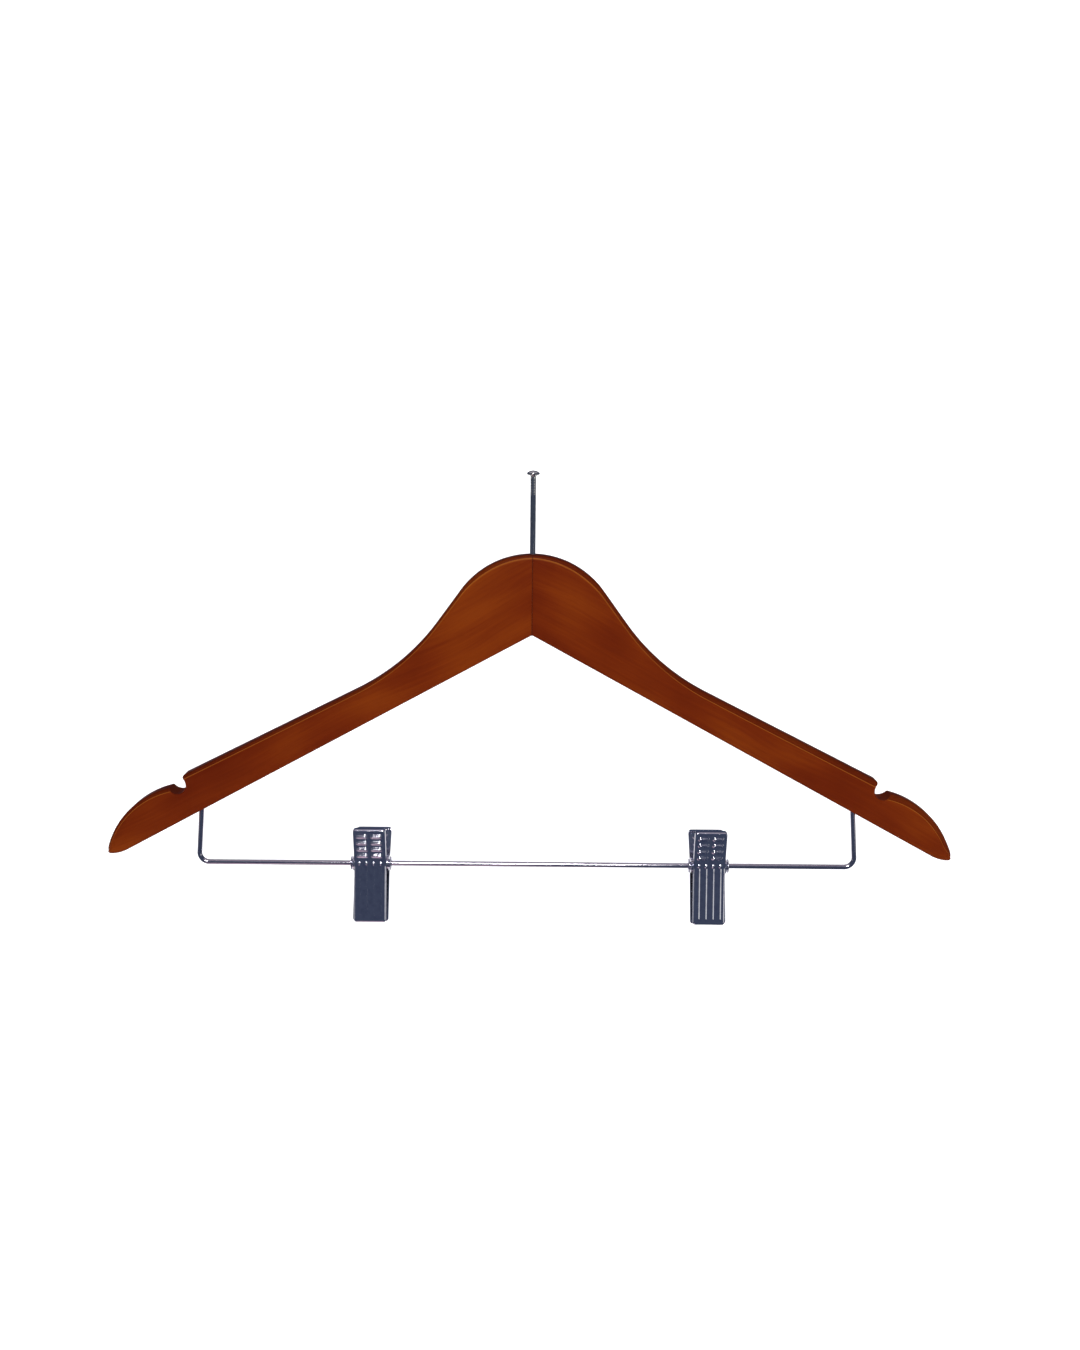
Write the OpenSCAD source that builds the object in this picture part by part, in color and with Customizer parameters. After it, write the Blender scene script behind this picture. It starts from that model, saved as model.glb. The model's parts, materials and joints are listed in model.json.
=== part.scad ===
// Wooden suit hanger with a swivelling nail-head pin, a wire bar and two sprung clips.
// Frame: origin on the pin axis at the underside of the pin head, +Z up, +X along
// the hanger, -Y is the front. All lengths are millimetres, all angles degrees.

/* [Wooden arms] */
// Overall width of the hanger, tip to tip
hanger_w = 445; // [440:1:450]
// Thickness of both arms, front to back
wood_t = 12; // [11:0.5:14]
// Radius of the dome at the neck
dome_r = 45; // [43:1:47]
// Radius of the notch that holds a dress strap
notch_r = 4.8; // [4:0.1:5.2]

/* [Pin and sleeve] */
// Diameter of the pin's shank
shank_d = 2.8; // [2.4:0.1:3]
// Diameter of the pin's head
head_d = 6.4; // [5.5:0.1:7]
// Height of the straight rim of the head
head_rim = 1.7; // [1.4:0.1:2]
// Length of shank that shows above the wood
shank_free = 38.8; // [36:0.2:40]

/* [Bar] */
// Diameter of the bar's wire
bar_d = 2.6; // [2.4:0.1:2.8]
// Distance from the pin head down to the bar
bar_drop = 204.2; // [200:0.1:208]
// Distance between the bar's two legs just above its bends
bar_legs = 348; // [340:1:350]
// Angle by which each leg leans in towards the middle
leg_lean = 5.3; // [0:0.1:8]
// Inside depth of the holes that hold the bar's legs
leg_depth = 12; // [9:1:13]

/* [Clips] */
// Place of the left clip along the bar
left_clip_x = -84.5; // [-120:0.5:-40]
// Place of the right clip along the bar
right_clip_x = 95; // [40:0.5:120]
// Width of a front jaw across its face
jaw_w = 17; // [15:0.5:18]
// Height of a jaw above the pivot
handle_h = 18.5; // [17:0.5:20]
// Height of a jaw below the pivot
jaw_h = 31; // [28:0.5:32]
// Thickness of the clip's sheet steel
sheet = 0.8; // [0.7:0.05:0.9]
// Angle by which both clips lean forward at rest
clip_lean = 14; // [0:1:20]

/* [Hidden] */
$fn = 64;

wood_color = [0.44, 0.16, 0.05];
chrome_color = [0.78, 0.78, 0.80];
spring_color = [0.55, 0.55, 0.57];
brass_color = [0.78, 0.62, 0.30];
pad_color = [0.10, 0.10, 0.11];

// The arm's outline: each arc ends at the slope where the next line starts
flank_a = 53.9;
flank_len = 20.5;
flare_r = 116.5;
shoulder_a = 26.82;
under_a = 28.77;
dome_z = -shank_free - dome_r;
flank_top = [dome_r * sin(flank_a), dome_z + dome_r * cos(flank_a)];
flare_top = flank_top + flank_len * [cos(flank_a), -sin(flank_a)];
flare_c = flare_top + flare_r * [sin(flank_a), cos(flank_a)];
apex_z = -79.54;
apex_flat = 0.7;

// The tip: a big arc over the top, a short upright end and a rounded foot
end_x = hanger_w / 2;
tip_r = 47.3;
tip_c = [end_x - 45.5, -208.07];
end_r = 14;
end_c = [end_x - end_r, tip_c[1] + sqrt(pow(tip_r - end_r, 2) - pow(end_x - end_r - tip_c[0], 2))];
end_a = atan2(end_c[1] - tip_c[1], end_c[0] - tip_c[0]);
foot_r = 1;
foot_z = -198.35;
foot_c = [end_x - foot_r, foot_z + foot_r];
heel_r = (sin(under_a) * foot_c[0] - cos(under_a) * (apex_z - foot_z)) / (1 - cos(under_a));
heel_c = [foot_c[0], foot_z + heel_r];

// The strap notch: a round pocket whose inner corner is eased on to the shoulder line
notch_c = [end_x - 38.35, -160.3];
notch_low_a = 77;
notch_ease = 1.4;
notch_mouth = 8;
shoulder_n = [sin(shoulder_a), cos(shoulder_a)];
flare_end = flare_c - flare_r * shoulder_n;
notch_below = shoulder_n * (notch_c - flare_end);
ease_a = 90 - shoulder_a + acos((-notch_ease - notch_below) / (notch_r + notch_ease));
ease_c = notch_c + (notch_r + notch_ease) * [cos(ease_a), sin(ease_a)];

// Comb joint at the middle: five layers that interlock behind the front seam
layer_t = wood_t / 5;
finger = 9;
comb_reach = [0, finger, -finger, finger, 0];
seam_gap = 0.01;
wood_out = 300; // farther than any wood reaches from the origin

// Swivel: the pin's foot turns in a chamber inside the sleeve
fit_gap = 0.05;
over = 2; // how far a cutter runs past what it cuts
shank_r = shank_d / 2;
wood_bore_r = shank_r + 0.2;
sleeve_r = 3;
sleeve_top = -56;
collar_h = 5;
chamber_h = 5;
sleeve_h = 13;
foot_head_r = 2.3;
foot_head_h = 2.5;
foot_side_gap = 0.15;
foot_top_gap = 0.1;
foot_top = sleeve_top - collar_h - foot_top_gap;
head_top = 2.7;
head_dome_r = 6;

bar_r = bar_d / 2;
bar_bend = 5;
bar_mid = -1.5; // the bar sits a little to the left of the pin
bend_c = [bar_legs / 2 - bar_bend, 0, bar_bend - bar_drop];
bend_wire_r = bar_r + 0.05; // the bends are a shade thicker, so that they take in the legs' feet
leg_root_in = 0.3;

// How far a leg runs from its bend to the wood; sgn is -1 on the left, 1 on the right
function leg_clear(sgn) = (apex_z - (bar_legs / 2 + sgn * bar_mid) * tan(under_a) - bend_c[2])
    / (cos(leg_lean) - sin(leg_lean) * tan(under_a));

// Clip, seen from its own pivot: x along the bar, y through the clip, z up
lean_jaw = 4.2;
lean_handle = 22;
tip_y = 2.8;
bend_r = 12;
bend_z = -2;
flange = 2.4;
top_lip = 3;
tip_lip = 1.3;
corner_r = 1.5;
back_drop = 1.2;
tube_in = bar_r + 0.3;
tube_out = 2.1;
hole_r = tube_out + 0.08;
ear_r = 3.9;
ear_root = 4.6;
ear_gap = 0.1;
rim_gap = 0.6;
rim_r = 3.6;
rim_t = 0.6;
front_half = jaw_w / 2;
back_half = front_half + ear_gap + sheet;
tube_half = back_half + rim_gap + rim_t;
pad_h = 10;
pad_w = 14.4;
pad_gap = 0.15;
pad_inset = 0.95;
pad_lead = [1.5, 2.2]; // bevel along the pad's upper edge, across and down
wire_r = 0.55;
coil_r = 2.9;
coil_turns = 5;
coil_pitch = 1.16;
coil_steps = 14;
coil_half = coil_turns * coil_pitch / 2;
spring_leg = 12.5;
leg_root = 0.6;
leg_dir = lean_handle + 1;
coil_sweep = coil_turns * 360 - 180 - 2 * leg_dir;
wire_sides = 8;

function arc(c, r, a0, a1, n) = [for (i = [0:n]) c + r * [cos(a0 + (a1 - a0) * i / n),
                                                          sin(a0 + (a1 - a0) * i / n)]];
function flip(list) = [for (i = [len(list) - 1:-1:0]) list[i]];

// Half of the outline, from near the top of the dome round to the apex below
half_rim = concat(
    arc([0, dome_z], dome_r, 87, 90 - flank_a, 12),
    arc(flare_c, flare_r, 270 - flank_a, 270 - shoulder_a, 8),
    [flare_end + (notch_c[0] - flare_end[0]) * [1, -tan(shoulder_a)]],
    arc(tip_c, tip_r, notch_low_a, end_a, 10),
    arc(end_c, end_r, end_a - 7, 0, 4),
    arc(foot_c, foot_r, 0, -90, 5),
    arc(heel_c, heel_r, 265, 270 - under_a, 5),
    [[apex_flat, apex_z - apex_flat * tan(under_a)]]);
whole_rim = concat(half_rim, [for (p = flip(half_rim)) [-p[0], p[1]]]);

// Outline of a strap notch on the right, with its open mouth
notch_rim = concat(
    arc(notch_c, notch_r, ease_a, 360, 14),
    [notch_c + [notch_r, notch_mouth], ease_c + (notch_ease + notch_mouth) * shoulder_n],
    arc(ease_c, notch_ease, 90 - shoulder_a, ease_a - 179, 4));

// Both arms as one blank, before it is parted and bored
module blank() {
    rotate([90, 0, 0]) linear_extrude(wood_t, center = true) polygon(whole_rim);
}

// One side of the comb joint: sgn is -1 for the left arm and 1 for the right.
// The outer layers butt at the middle, the second and fourth carry the left
// arm's fingers and the middle one carries the right arm's finger.
module comb_side(sgn) {
    for (i = [0:4]) {
        from = sgn < 0 ? -wood_out : comb_reach[i] + seam_gap;
        to = sgn < 0 ? comb_reach[i] - seam_gap : wood_out;
        front = i == 0 ? over : 0;
        back = i == 4 ? over : 0;
        translate([from, -wood_t / 2 + i * layer_t - front, -wood_out])
            cube([to - from, layer_t + front + back, wood_out]);
    }
}

// Everything that is bored or cut out of the wood
module wood_cuts() {
    translate([0, 0, sleeve_top - over]) cylinder(r = wood_bore_r, h = -sleeve_top);
    translate([0, 0, sleeve_top - sleeve_h]) cylinder(r = sleeve_r, h = sleeve_h);
    for (s = [-1, 1]) {
        along_leg(s) translate([0, 0, leg_clear(s) - leg_depth]) cylinder(r = bar_r + fit_gap, h = 2 * leg_depth);
        mirror([s < 0 ? 1 : 0, 0, 0]) rotate([90, 0, 0])
            linear_extrude(wood_t + 2 * over, center = true) polygon(notch_rim);
    }
}

module arm(sgn) {
    color(wood_color) difference() {
        intersection() {
            blank();
            comb_side(sgn);
        }
        wood_cuts();
    }
}

module left_arm() { arm(-1); }
module right_arm() { arm(1); }

// Nail-headed pin: domed head, long shank and an upset foot
module security_pin() {
    color(chrome_color) {
        cylinder(r = head_d / 2, h = head_rim);
        intersection() {
            cylinder(r = head_d / 2, h = head_top);
            translate([0, 0, head_top - head_dome_r]) sphere(r = head_dome_r);
        }
        translate([0, 0, foot_top - foot_head_h / 2]) cylinder(r = shank_r, h = (head_rim + foot_head_h) / 2 - foot_top);
        translate([0, 0, foot_top - foot_head_h]) cylinder(r = foot_head_r, h = foot_head_h);
    }
}

// Brass sleeve: a close collar on the shank over a chamber for the foot
module swivel_sleeve() {
    color(brass_color) difference() {
        translate([0, 0, sleeve_top - sleeve_h]) cylinder(r = sleeve_r, h = sleeve_h);
        translate([0, 0, sleeve_top - collar_h - over]) cylinder(r = shank_r + fit_gap, h = collar_h + 2 * over);
        translate([0, 0, sleeve_top - collar_h - chamber_h]) cylinder(r = foot_head_r + foot_side_gap, h = chamber_h);
    }
}

// Moves to the centre of one bend of the bar, with +X outwards
module at_bend(sgn) {
    translate([bar_mid, 0, 0]) mirror([sgn < 0 ? 1 : 0, 0, 0]) translate(bend_c) children();
}

// Turns to one leg's middle line: the origin at the end of the bend and +Z up the leg
module along_leg(sgn) {
    at_bend(sgn) translate([bar_bend, 0, 0]) rotate([0, -leg_lean, 0]) children();
}

// Wire bar: a straight run, two bends and two legs glued into the arms
module clip_bar() {
    color(chrome_color) {
        translate([bar_mid, 0, -bar_drop]) rotate([0, 90, 0])
            cylinder(r = bar_r, h = 2 * bend_c[0], center = true);
        for (s = [-1, 1]) {
            along_leg(s) translate([0, 0, -leg_root_in])
                cylinder(r = bar_r, h = leg_root_in + leg_clear(s) + leg_depth - 2 * fit_gap);
            at_bend(s) rotate([-90, 0, 0]) rotate_extrude(angle = 90)
                translate([bar_bend, 0]) circle(r = bend_wire_r);
        }
    }
}

// Side view of a jaw as [y, z, slope] stations, from the tip up to the handle's end at h
function jaw_stations(h) =
    let (y0 = tip_y + (jaw_h + bend_z) * tan(lean_jaw),
         c = [y0 + bend_r * cos(lean_jaw), bend_z - bend_r * sin(lean_jaw)],
         e = c - bend_r * [cos(lean_handle), -sin(lean_handle)],
         rise = h - e[1])
    concat([[tip_y, -jaw_h, lean_jaw]],
           [for (i = [0:6]) let (a = lean_jaw + (lean_handle - lean_jaw) * i / 6)
            [c[0] - bend_r * cos(a), c[1] + bend_r * sin(a), a]],
           [[e[0] + rise * tan(lean_handle), h, lean_handle]]);

// Strip of depth d behind the outer face through the stations s
function jaw_strip(s, d) =
    concat([for (p = s) [p[0], p[1]]],
           flip([for (p = s) [p[0] - d * cos(p[2]), p[1] + d * sin(p[2])]]));

// Extrudes a side view across the clip from x0 to x1
module across(x0, x1) {
    translate([x0, 0, 0]) rotate([90, 0, 90]) linear_extrude(x1 - x0) children();
}

// Lip of depth d that turns in from the end of a jaw at station p, s thick
module lip(p, d, s) {
    polygon([for (q = [[0, 0], [d, 0], [d, s], [0, s]])
        [p[0] - q[0] * cos(p[2]) + q[1] * sin(p[2]), p[1] + q[0] * sin(p[2]) + q[1] * cos(p[2])]]);
}

// Front view of a jaw of half-width w and top h, with its four rounded corners
module jaw_front(w, h) {
    for (x = [corner_r - w, w - corner_r], z = [corner_r - jaw_h, h - corner_r])
        translate([x, z]) circle(r = corner_r);
    translate([corner_r - w, -jaw_h]) square([2 * (w - corner_r), jaw_h + h]);
    translate([-w, corner_r - jaw_h]) square([2 * w, jaw_h + h - 2 * corner_r]);
}

// One pressed jaw on the +Y side, of half-width w and top h, with an ear at each side
module jaw(w, h) {
    stations = jaw_stations(h);
    color(chrome_color) difference() {
        union() {
            intersection() {
                union() {
                    across(-w, w) {
                        polygon(jaw_strip(stations, sheet));
                        lip(stations[len(stations) - 1], top_lip, -sheet);
                        lip(stations[0], tip_lip, sheet);
                    }
                    for (x = [-w, w - sheet]) across(x, x + sheet) polygon(jaw_strip(stations, flange));
                }
                rotate([90, 0, 0]) linear_extrude(2 * jaw_h, center = true) jaw_front(w, h);
            }
            for (x = [-w, w - sheet]) across(x, x + sheet) {
                circle(r = ear_r);
                translate([0, -ear_r]) square([ear_root, 2 * ear_r]);
            }
        }
        rotate([0, 90, 0]) cylinder(r = hole_r, h = 3 * tube_half, center = true);
    }
}

// Soft grip inside the tip of a jaw, on the +Y side
module pad() {
    low = pad_inset - jaw_h;
    top = low + pad_h;
    inner = [for (z = [low, top]) [tip_y - sheet / cos(lean_jaw) + (z + jaw_h) * tan(lean_jaw), z]];
    color(pad_color) across(-pad_w / 2, pad_w / 2) polygon([inner[0], inner[1],
        [inner[1][0] - pad_lead[0], top], [pad_gap, top - pad_lead[1]], [pad_gap, low]]);
}

// Hollow rivet that slides on the bar and carries both jaws
module pivot_tube() {
    color(chrome_color) rotate([0, 90, 0]) difference() {
        union() {
            cylinder(r = tube_out, h = 2 * tube_half, center = true);
            for (s = [-1, 1]) translate([0, 0, s * (tube_half - rim_t / 2)])
                cylinder(r = rim_r, h = rim_t, center = true);
        }
        cylinder(r = tube_in, h = 3 * tube_half, center = true);
    }
}

// Wire of the torsion spring: a leg, the coil about the tube and the other leg.
// Each leg leaves the coil at its side and leans out along the inside of a handle.
function coil_point(a, x) = [x, -coil_r * cos(a), coil_r * sin(a)];
function leg_points(s) = let (foot = coil_point(s < 0 ? -leg_dir : 180 + leg_dir, s * coil_half))
    [for (t = [spring_leg, leg_root]) foot + t * [0, s * sin(leg_dir), cos(leg_dir)]];
function coil_points() = let (n = coil_turns * coil_steps)
    [for (i = [0:n]) coil_point(-leg_dir - coil_sweep * i / n, coil_half * (2 * i / n - 1))];
function spring_path() = concat(leg_points(-1), coil_points(), flip(leg_points(1)));

function unit(v) = v / norm(v);

module clip_spring() {
    p = spring_path();
    m = len(p);
    k = wire_sides;
    along = [for (i = [0:m - 1]) unit(p[min(i + 1, m - 1)] - p[max(i - 1, 0)])];
    rings = [for (i = [0:m - 1]) let (u = unit(cross([1, 0, 0], along[i])), v = cross(along[i], u))
             [for (j = [0:k - 1]) p[i] + wire_r * (u * cos(j * 360 / k) + v * sin(j * 360 / k))]];
    sides = [for (i = [0:m - 2]) for (j = [0:k - 1])
             [i * k + j, (i + 1) * k + j, (i + 1) * k + (j + 1) % k, i * k + (j + 1) % k]];
    caps = [[for (j = [0:k - 1]) j], [for (j = [k - 1:-1:0]) (m - 1) * k + j]];
    color(spring_color) polyhedron(points = [for (r = rings) each r], faces = concat(sides, caps), convexity = 8);
}

// Puts a clip's piece on the bar at x, leaning with its jaw tips forward
module on_bar(x) {
    translate([x, 0, -bar_drop]) rotate([-clip_lean, 0, 0]) children();
}

module left_pivot_tube() { on_bar(left_clip_x) pivot_tube(); }
module left_back_jaw() { on_bar(left_clip_x) jaw(back_half, handle_h - back_drop); }
module left_front_jaw() { on_bar(left_clip_x) mirror([0, 1, 0]) jaw(front_half, handle_h); }
module left_clip_spring() { on_bar(left_clip_x) clip_spring(); }
module left_back_pad() { on_bar(left_clip_x) pad(); }
module left_front_pad() { on_bar(left_clip_x) mirror([0, 1, 0]) pad(); }
module right_pivot_tube() { on_bar(right_clip_x) pivot_tube(); }
module right_back_jaw() { on_bar(right_clip_x) jaw(back_half, handle_h - back_drop); }
module right_front_jaw() { on_bar(right_clip_x) mirror([0, 1, 0]) jaw(front_half, handle_h); }
module right_clip_spring() { on_bar(right_clip_x) clip_spring(); }
module right_back_pad() { on_bar(right_clip_x) pad(); }
module right_front_pad() { on_bar(right_clip_x) mirror([0, 1, 0]) pad(); }

left_arm();
right_arm();
security_pin();
swivel_sleeve();
clip_bar();
left_pivot_tube();
left_back_jaw();
left_front_jaw();
left_clip_spring();
left_back_pad();
left_front_pad();
right_pivot_tube();
right_back_jaw();
right_front_jaw();
right_clip_spring();
right_back_pad();
right_front_pad();
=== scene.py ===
import json
import logging
import math
from dataclasses import dataclass
from enum import Enum
from typing import Any, Callable, Sequence, Union

import bmesh
import bpy
import numpy as np
from mathutils import Matrix, Vector


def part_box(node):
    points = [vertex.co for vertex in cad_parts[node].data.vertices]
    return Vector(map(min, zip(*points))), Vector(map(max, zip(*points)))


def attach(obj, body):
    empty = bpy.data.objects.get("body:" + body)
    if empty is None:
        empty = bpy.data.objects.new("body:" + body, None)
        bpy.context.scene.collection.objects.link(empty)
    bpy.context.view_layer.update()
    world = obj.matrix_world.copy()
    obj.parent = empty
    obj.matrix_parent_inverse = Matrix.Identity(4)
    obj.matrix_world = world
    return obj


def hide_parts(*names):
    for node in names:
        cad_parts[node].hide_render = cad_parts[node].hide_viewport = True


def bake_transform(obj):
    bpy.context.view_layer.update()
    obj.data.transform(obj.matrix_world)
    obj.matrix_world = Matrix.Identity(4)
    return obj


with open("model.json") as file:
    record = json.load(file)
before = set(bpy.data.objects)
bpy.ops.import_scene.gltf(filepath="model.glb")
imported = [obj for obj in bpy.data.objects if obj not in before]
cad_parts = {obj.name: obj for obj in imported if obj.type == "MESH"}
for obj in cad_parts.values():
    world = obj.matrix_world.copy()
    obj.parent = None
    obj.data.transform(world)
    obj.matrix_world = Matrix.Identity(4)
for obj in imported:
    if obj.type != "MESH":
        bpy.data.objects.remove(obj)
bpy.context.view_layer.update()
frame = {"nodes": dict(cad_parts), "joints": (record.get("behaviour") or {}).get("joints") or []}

MM = 0.001
Array = np.ndarray
Color = tuple[float, float, float]
log = logging.getLogger("hanger")


# ---------------------------------------------------------------- shader maths


class Signal:
    """A shader socket that takes part in Python arithmetic."""

    def __init__(self, shader: "Shader", socket: bpy.types.NodeSocket) -> None:
        """Keeps the socket and the shader it belongs to."""
        self.shader = shader
        self.socket = socket

    def __add__(self, other: "Term") -> "Signal":
        """This signal plus another."""
        return self.shader.math("ADD", self, other)

    def __sub__(self, other: "Term") -> "Signal":
        """This signal less another."""
        return self.shader.math("SUBTRACT", self, other)

    def __rsub__(self, other: "Term") -> "Signal":
        """A number less this signal."""
        return self.shader.math("SUBTRACT", other, self)

    def __mul__(self, other: "Term") -> "Signal":
        """This signal times another."""
        return self.shader.math("MULTIPLY", self, other)

    def __abs__(self) -> "Signal":
        """This signal without its sign."""
        return self.shader.math("ABSOLUTE", self, 0.0)

    def __lt__(self, other: "Term") -> "Signal":
        """One where this signal is below the other, else nought."""
        return self.shader.math("LESS_THAN", self, other)

    def least(self, other: "Term") -> "Signal":
        """The lower of this signal and another."""
        return self.shader.math("MINIMUM", self, other)

    def ramp(self, low: float, high: float, start: float = 0.0, stop: float = 1.0) -> "Signal":
        """Carries low..high smoothly on to start..stop and clamps it there.

        Args:
            low: value that gives start.
            high: value that gives stop.
            start: result at and below low.
            stop: result at and above high.

        Returns:
            The carried signal.
        """
        node = self.shader.node(
            "ShaderNodeMapRange",
            {"interpolation_type": "SMOOTHSTEP", "clamp": True},
            {"Value": self, "From Min": low, "From Max": high, "To Min": start, "To Max": stop},
        )
        return Signal(self.shader, node.outputs["Result"])

    __radd__ = __add__
    __rmul__ = __mul__


Term = Union[Signal, float]


class Shader:
    """One material's node tree, written as expressions."""

    def __init__(self, name: str) -> None:
        """Makes an empty material that holds only its shader and output."""
        self.material = bpy.data.materials.new(name)
        self.material.use_nodes = True
        self.tree = self.material.node_tree
        self.tree.nodes.clear()
        self.surface = self.node("ShaderNodeBsdfPrincipled")
        output = self.node("ShaderNodeOutputMaterial")
        self.tree.links.new(self.surface.outputs["BSDF"], output.inputs["Surface"])

    def node(
        self,
        kind: str,
        settings: dict[str, Any] | None = None,
        sockets: dict[Any, Any] | None = None,
    ) -> bpy.types.Node:
        """Adds a node, sets it up and fills its sockets.

        Args:
            kind: the node's type.
            settings: its properties; "stops" holds a colour ramp's places and colours.
            sockets: values or signals for its inputs, by name or number.

        Returns:
            The node.
        """
        node = self.tree.nodes.new(kind)
        for key, value in (settings or {}).items():
            if key == "stops":
                while len(node.color_ramp.elements) < len(value):
                    node.color_ramp.elements.new(0.5)
                for element, (place, color) in zip(node.color_ramp.elements, value):
                    element.position = place
                    element.color = (*color, 1.0)
            else:
                setattr(node, key, value)
        for key, value in (sockets or {}).items():
            if isinstance(value, Signal):
                self.tree.links.new(value.socket, node.inputs[key])
            else:
                node.inputs[key].default_value = value
        return node

    def math(self, operation: str, first: Term, second: Term) -> Signal:
        """Adds one Math node.

        Args:
            operation: what it works out.
            first: its first term.
            second: its second term.

        Returns:
            The result.
        """
        node = self.node("ShaderNodeMath", {"operation": operation}, {0: first, 1: second})
        return Signal(self, node.outputs[0])

    def object_mm(self, turn: Color = (0.0, 0.0, 0.0), shift: Color = (0.0, 0.0, 0.0)) -> Signal:
        """Object coordinates in millimetres, turned by angles in radians and shifted."""
        where = Signal(self, self.node("ShaderNodeTexCoord").outputs["Object"])
        node = self.node(
            "ShaderNodeMapping",
            {"vector_type": "POINT"},
            {"Vector": where, "Location": shift, "Rotation": turn, "Scale": (1 / MM,) * 3},
        )
        return Signal(self, node.outputs[0])

    def scaled(self, vector: Signal, factors: Color) -> Signal:
        """A vector times one factor for each axis."""
        node = self.node("ShaderNodeVectorMath", {"operation": "MULTIPLY"}, {0: vector, 1: factors})
        return Signal(self, node.outputs[0])

    def axes(self, vector: Signal) -> tuple[Signal, Signal, Signal]:
        """The three numbers of a vector."""
        node = self.node("ShaderNodeSeparateXYZ", None, {0: vector})
        return tuple(Signal(self, out) for out in node.outputs)

    def noise(self, vector: Signal, detail: float = 2.0, roughness: float = 0.5) -> Signal:
        """Cloudy noise with one cell to each unit of the vector.

        Args:
            vector: where the noise is read.
            detail: octaves of finer noise.
            roughness: how strong the finer octaves are.

        Returns:
            A signal about one half.
        """
        node = self.node(
            "ShaderNodeTexNoise",
            {"noise_dimensions": "3D"},
            {"Vector": vector, "Scale": 1.0, "Detail": detail, "Roughness": roughness},
        )
        return Signal(self, node.outputs[0])

    def tones(self, signal: Signal, stops: Sequence[tuple[float, Color]]) -> Signal:
        """A colour ramp read by a signal."""
        node = self.node("ShaderNodeValToRGB", {"stops": stops}, {0: signal})
        return Signal(self, node.outputs[0])

    def mix(self, factor: Term, first: Signal | Color, second: Signal | Color) -> Signal:
        """Mixes two colours.

        Args:
            factor: share of the second colour.
            first: colour where the factor is nought.
            second: colour where the factor is one.

        Returns:
            The mixed colour.
        """
        ends = [c if isinstance(c, Signal) else (*c, 1.0) for c in (first, second)]
        node = self.node("ShaderNodeMix", {"data_type": "RGBA"}, {0: factor, 6: ends[0], 7: ends[1]})
        return Signal(self, node.outputs[2])

    def bump(self, height: Signal, depth_mm: float, strength: float = 1.0) -> Signal:
        """A normal bent by a height signal that spans depth_mm."""
        sockets = {"Strength": strength, "Distance": depth_mm * MM, "Height": height}
        node = self.node("ShaderNodeBump", None, sockets)
        return Signal(self, node.outputs[0])

    def finish(self, **sockets: Any) -> bpy.types.Material:
        """Fills the surface shader's sockets, written with _ for a space, and returns the material."""
        for key, value in sockets.items():
            socket = self.surface.inputs[key.replace("_", " ")]
            if isinstance(value, Signal):
                self.tree.links.new(value.socket, socket)
            elif socket.type == "RGBA":
                socket.default_value = (*value, 1.0)
            else:
                socket.default_value = value
        return self.material


# -------------------------------------------------------------------- finishes


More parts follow.
